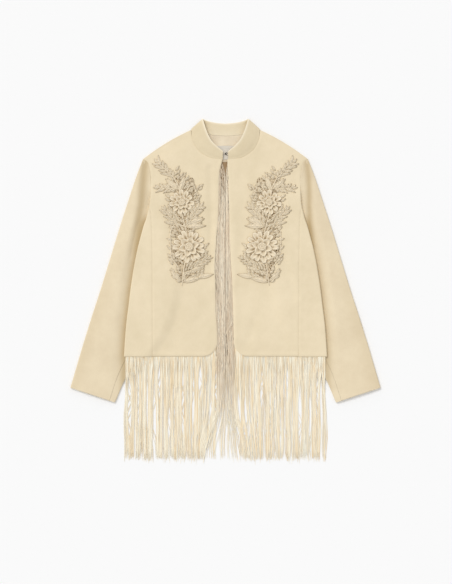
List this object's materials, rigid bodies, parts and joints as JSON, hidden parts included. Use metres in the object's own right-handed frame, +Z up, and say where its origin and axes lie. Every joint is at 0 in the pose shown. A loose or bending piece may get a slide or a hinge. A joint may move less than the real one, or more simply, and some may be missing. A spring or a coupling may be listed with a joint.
{
  "type": "fringed faux suede jacket",
  "caption": "Cropped cream faux suede jacket laid flat: stand collar, open front, two-piece sleeves, raised flower lace on the chest and a long thread fringe under the hem.",
  "frame": {"origin": "on the surface that the jacket lies on, at the middle of its overall length and width", "axes": "+X towards the wearer's left sleeve, +Y from the hem to the collar, +Z up from the surface"},
  "size_m": [0.7756, 0.8592, 0.0153],
  "materials": {
    "suede": "matte cream faux suede with a short brushed nap",
    "collar": "matte cream faux suede, slightly deeper",
    "lining": "smooth cream lining with a faint sheen",
    "label": "plain pale grey woven tape",
    "lace": "matte beige embroidered lace",
    "thread": "soft cream twisted thread",
    "wire": "dark gunmetal wire"
  },
  "bodies": {
    "root": {"back": "suede", "front_right": "suede", "front_left": "suede", "side_panel_right": "suede", "side_panel_left": "suede", "upper_sleeve_right": "suede", "under_sleeve_right": "suede", "upper_sleeve_left": "suede", "under_sleeve_left": "suede", "band_collar": "collar", "back_neck_facing": "lining", "neck_label": "label", "hook": "wire", "eye": "wire", "applique_right": "lace", "applique_left": "lace", "fringe_hem_back": "thread", "fringe_hem_front_right": "thread", "fringe_hem_front_left": "thread", "fringe_edge_right": "thread", "fringe_edge_left": "thread"}
  },
  "joints": []
}
